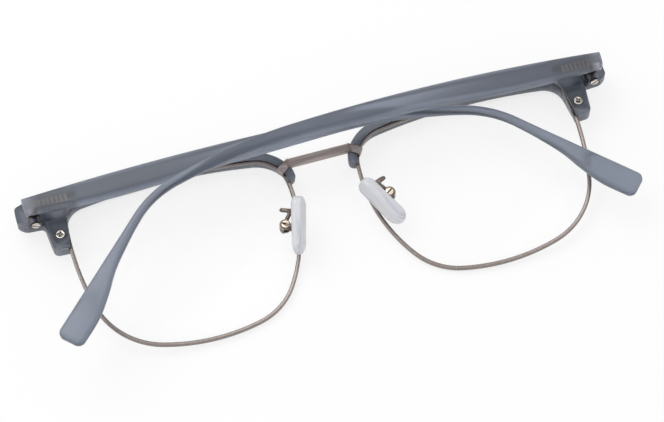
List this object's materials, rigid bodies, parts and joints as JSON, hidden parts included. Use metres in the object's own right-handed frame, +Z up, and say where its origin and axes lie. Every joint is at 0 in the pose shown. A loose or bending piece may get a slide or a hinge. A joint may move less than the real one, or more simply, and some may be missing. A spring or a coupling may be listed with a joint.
{
  "type": "browline glasses",
  "caption": "Browline glasses with translucent plastic brows and temples, thin metal rims, a metal bridge and nose pads on bent wire arms; the temples fold and the pads rock.",
  "frame": {"origin": "on the table, under the middle of the folded glasses that lie on their front", "axes": "+X across the front towards the wearer's right-hand side in the picture, +Y up the front towards the brows, +Z up from the table"},
  "size_m": [0.1402, 0.0449, 0.017],
  "materials": {
    "rim_metal": "brushed gunmetal",
    "hinge_metal": "satin",
    "screw_metal": "polished",
    "frame_plastic": "polished translucent grey",
    "lens_resin": "clear",
    "pad_core": "clear",
    "pad_silicone": "clear, slightly bluish"
  },
  "bodies": {
    "front": {"bridge": "rim_metal", "left_rim": "rim_metal", "left_lens": "lens_resin", "left_brow": "frame_plastic", "left_closing_block": "rim_metal", "left_closing_screw": "screw_metal", "left_brow_screw": "screw_metal", "left_front_hinge": "hinge_metal", "left_hinge_screw": "screw_metal", "left_pad_arm": "rim_metal", "left_pad_box": "rim_metal", "left_pad_screw": "screw_metal", "right_rim": "rim_metal", "right_lens": "lens_resin", "right_brow": "frame_plastic", "right_closing_block": "rim_metal", "right_closing_screw": "screw_metal", "right_brow_screw": "screw_metal", "right_front_hinge": "hinge_metal", "right_hinge_screw": "screw_metal", "right_pad_arm": "rim_metal", "right_pad_box": "rim_metal", "right_pad_screw": "screw_metal"},
    "left_temple": {"left_temple": "frame_plastic", "left_temple_hinge": "hinge_metal"},
    "left_pad": {"left_pad_insert": "pad_core", "left_nose_pad": "pad_silicone"},
    "right_temple": {"right_temple": "frame_plastic", "right_temple_hinge": "hinge_metal"},
    "right_pad": {"right_pad_insert": "pad_core", "right_nose_pad": "pad_silicone"}
  },
  "joints": [
    {"name": "left_temple_fold", "type": "hinge", "parent": "front", "child": "left_temple", "pos_m": [-0.06606, 0.01565, 0.0082], "axis": [0, -1, 0], "range_deg": [0, 91.5]},
    {"name": "right_temple_fold", "type": "hinge", "parent": "front", "child": "right_temple", "pos_m": [0.06606, 0.01565, 0.0082], "axis": [0, 1, 0], "range_deg": [0, 88.5]},
    {"name": "left_pad_rock", "type": "hinge", "parent": "front", "child": "left_pad", "pos_m": [-0.01239, -0.00206, 0.0061], "axis": [0, 0, 1], "range_deg": [-20.5, 1.5]},
    {"name": "right_pad_rock", "type": "hinge", "parent": "front", "child": "right_pad", "pos_m": [0.01239, -0.00068, 0.0061], "axis": [0, 0, 1], "range_deg": [-20.5, 1.5]}
  ]
}
